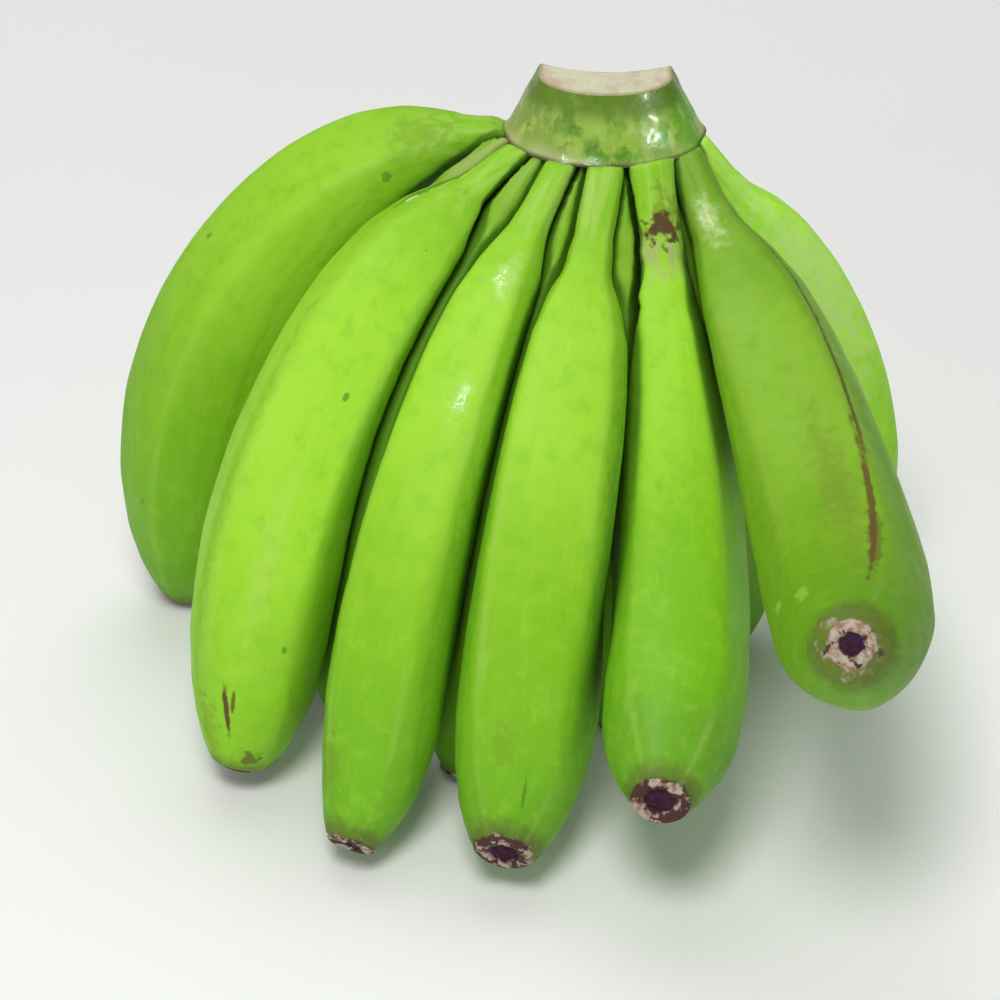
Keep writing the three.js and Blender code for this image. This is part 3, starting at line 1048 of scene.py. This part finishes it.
def rind_colour(s, place, up, clouds):
    """Mottled green, paler on the left and at the foot, darker below the cut, with a brown seam."""
    across = s.parts(place)[0]
    right = s.remap(across, crown_x + 0.1 * crown_half, crown_x + 0.7 * crown_half)
    left = s.remap(across, crown_x - 0.2 * crown_half, crown_x - 0.8 * crown_half)
    rind = s.lay(MOSS, RIND, clouds, 0.4, 0.62)
    rind = s.mix(s.math("MULTIPLY", right, 0.6), rind, RIND_RIGHT)
    rind = s.mix(s.math("MULTIPLY", left, 0.7), rind, RIND_LEFT)
    rind = s.lay(rind, RIND_PATCH, s.noise(place, 150, detail=3), 0.5, 0.62, strength=0.7)
    rind = s.lay(rind, RIND_STREAK, s.noise(place, 330, detail=3, along=0.2), 0.52, 0.66, strength=0.6)
    rind = s.lay(rind, RIND_BRUISE, s.noise(place, 330, detail=3), 0.6, 0.7, strength=0.6)
    under_cut = s.remap(s.noise(place, 90), 0.3, 0.6, 0.5, 0.95)
    rind = s.mix(s.math("MULTIPLY", s.remap(up, 0.5, 0.82), under_cut), rind, RIND_UNDER_CUT)
    foot = s.math("MULTIPLY", s.remap(up, 0.3, 0.08), s.remap(s.noise(place, 60), 0.42, 0.62))
    rind = s.mix(s.math("MULTIPLY", foot, 0.75), rind, RIND_FOOT)
    return s.lay(rind, RIND_SEAM, up, 0.09, 0.03, strength=0.9)


def flesh_colour(s, place, inside, bundles):
    """Cream with pinkish patches, the dark ends of fibre bundles, and a browner rim."""
    flesh = s.noise(place, 140, detail=4, roughness=0.6)
    flesh = s.lay(FLESH, PINKISH, flesh, 0.45, 0.7, strength=0.8)
    flesh = s.mix(s.remap(bundles, 0.05, 0.3, 0.5, 0), flesh, BUNDLE)
    return s.mix(s.remap(inside, 0.0, 0.1, 0.6, 0), flesh, FACE_RIM)


def floor_material():
    """Pale, dull and faintly cloudy."""
    s = Shader("pale_floor")
    grain = s.noise(s.node("TexCoord", {}).outputs["Object"], 3)
    colour = s.lay(FLOOR_DARKER, FLOOR_LIGHTER, grain, 0.3, 0.7)
    return s.finish(colour, FLOOR_ROUGHNESS, s.bump(grain, FLOOR_RELIEF))


# ---------------------------------------------------------------- the scene


FLOOR_SIZE = 6
FLOOR_DARKER = (0.9, 0.9, 0.89)
FLOOR_LIGHTER = (0.93, 0.93, 0.92)
FLOOR_ROUGHNESS = 0.6
FLOOR_RELIEF = 0.1 * MM
WARM = (1, 0.99, 0.96)
SKY = (0.95, 0.97, 1)
SKY_STRENGTH = 0.25


def add_floor():
    bpy.ops.mesh.primitive_plane_add(size=FLOOR_SIZE, location=(0, 0, 0))
    floor = bpy.context.object
    floor.name = "floor"
    floor.data.materials.append(floor_material())


def add_light(name, place, target, size, power, colour=(1, 1, 1)):
    """A round area lamp, size across, that shines at the target with power in watts."""
    lamp = bpy.data.lights.new(name, "AREA")
    lamp.shape = "DISK"
    lamp.size = size
    lamp.energy = power
    lamp.color = colour
    holder = bpy.data.objects.new(name, lamp)
    holder.location = place
    holder.rotation_euler = (Vector(target) - Vector(place)).to_track_quat("-Z", "Y").to_euler()
    bpy.context.scene.collection.objects.link(holder)
    return holder


# Lamps that are seen only as highlights: compass angle from the front, elevation, watts.
GLINTS = ((-82, 72, 3.5), (-39, 50, 4.5), (-25, 61, 2.7), (52, 19, 4.5))
GLINT_DISTANCE = 1.3
GLINT_SIZE = 0.1
GLINT_AIM_HEIGHT = 0.1


def add_lights():
    """Soft light for the colours, and small lamps for the highlights on the waxy patches."""
    soft = (
        add_light("key", (-0.1, -0.55, 1.25), (0, -0.02, 0.08), size=0.5, power=9.5, colour=WARM),
        add_light("fill", (-0.5, -1, 0.3), (0, 0, 0.05), size=0.9, power=3.6),
        add_light("sky", (0, 1, 1.6), (0, 0.6, 0), size=1.6, power=12),
    )
    for lamp in soft:
        lamp.visible_glossy = False
    target = Vector((crown_x, crown_low.y, GLINT_AIM_HEIGHT))
    for azimuth, elevation, power in GLINTS:
        turn, rise = math.radians(azimuth), math.radians(elevation)
        way = Vector((math.sin(turn) * math.cos(rise), -math.cos(turn) * math.cos(rise), math.sin(rise)))
        glint = add_light("glint", target + way * GLINT_DISTANCE, target, size=GLINT_SIZE, power=power)
        glint.visible_diffuse = False


VIEW_ELEVATION = 30
VIEWED_FROM_FRONT = 18 * MM  # behind the front of the crown
VIEW_DISTANCE = 0.8  # from that point, at the crown's underside
VIEW_ANGLE = 18


def add_camera():
    """In front of the hand, looking down on it."""
    low, high = cad_box
    target = (low + high) / 2
    turn = math.radians(VIEW_ELEVATION)
    below_crown = Vector((crown_x, crown_low.y + VIEWED_FROM_FRONT, underside))
    camera = bpy.data.objects.new("camera", bpy.data.cameras.new("camera"))
    camera.location = below_crown + Vector((0, -math.cos(turn), math.sin(turn))) * VIEW_DISTANCE
    camera.rotation_euler = (target - camera.location).to_track_quat("-Z", "Y").to_euler()
    camera.data.angle = math.radians(VIEW_ANGLE)
    camera.data.clip_start = 0.01
    bpy.context.scene.collection.objects.link(camera)
    bpy.context.scene.camera = camera


def add_world():
    """A faint even glow from all round."""
    world = bpy.data.worlds.new("studio")
    world.use_nodes = True
    background = world.node_tree.nodes["Background"]
    background.inputs["Color"].default_value = (*SKY, 1)
    background.inputs["Strength"].default_value = SKY_STRENGTH
    bpy.context.scene.world = world


def add_hand():
    """Every finger and the crown, each in place of its CAD solid."""
    names = sorted(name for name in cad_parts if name.startswith("finger_"))
    fingers = [finger_frame(name) for name in names]
    for number, finger in enumerate(fingers):
        others = [other for other in fingers if other is not finger]
        piece = finger_piece(finger, others, number)
        piece.data.materials.append(peel_material(finger.name + "_skin", finger.look))
        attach(piece, "root")
        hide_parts(finger.name)
    crown = crown_piece()
    crown.data.materials.append(crown_material())
    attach(crown, "root")
    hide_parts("crown")


add_hand()
add_floor()
add_world()
add_lights()
add_camera()
bpy.context.scene.view_settings.view_transform = "Standard"
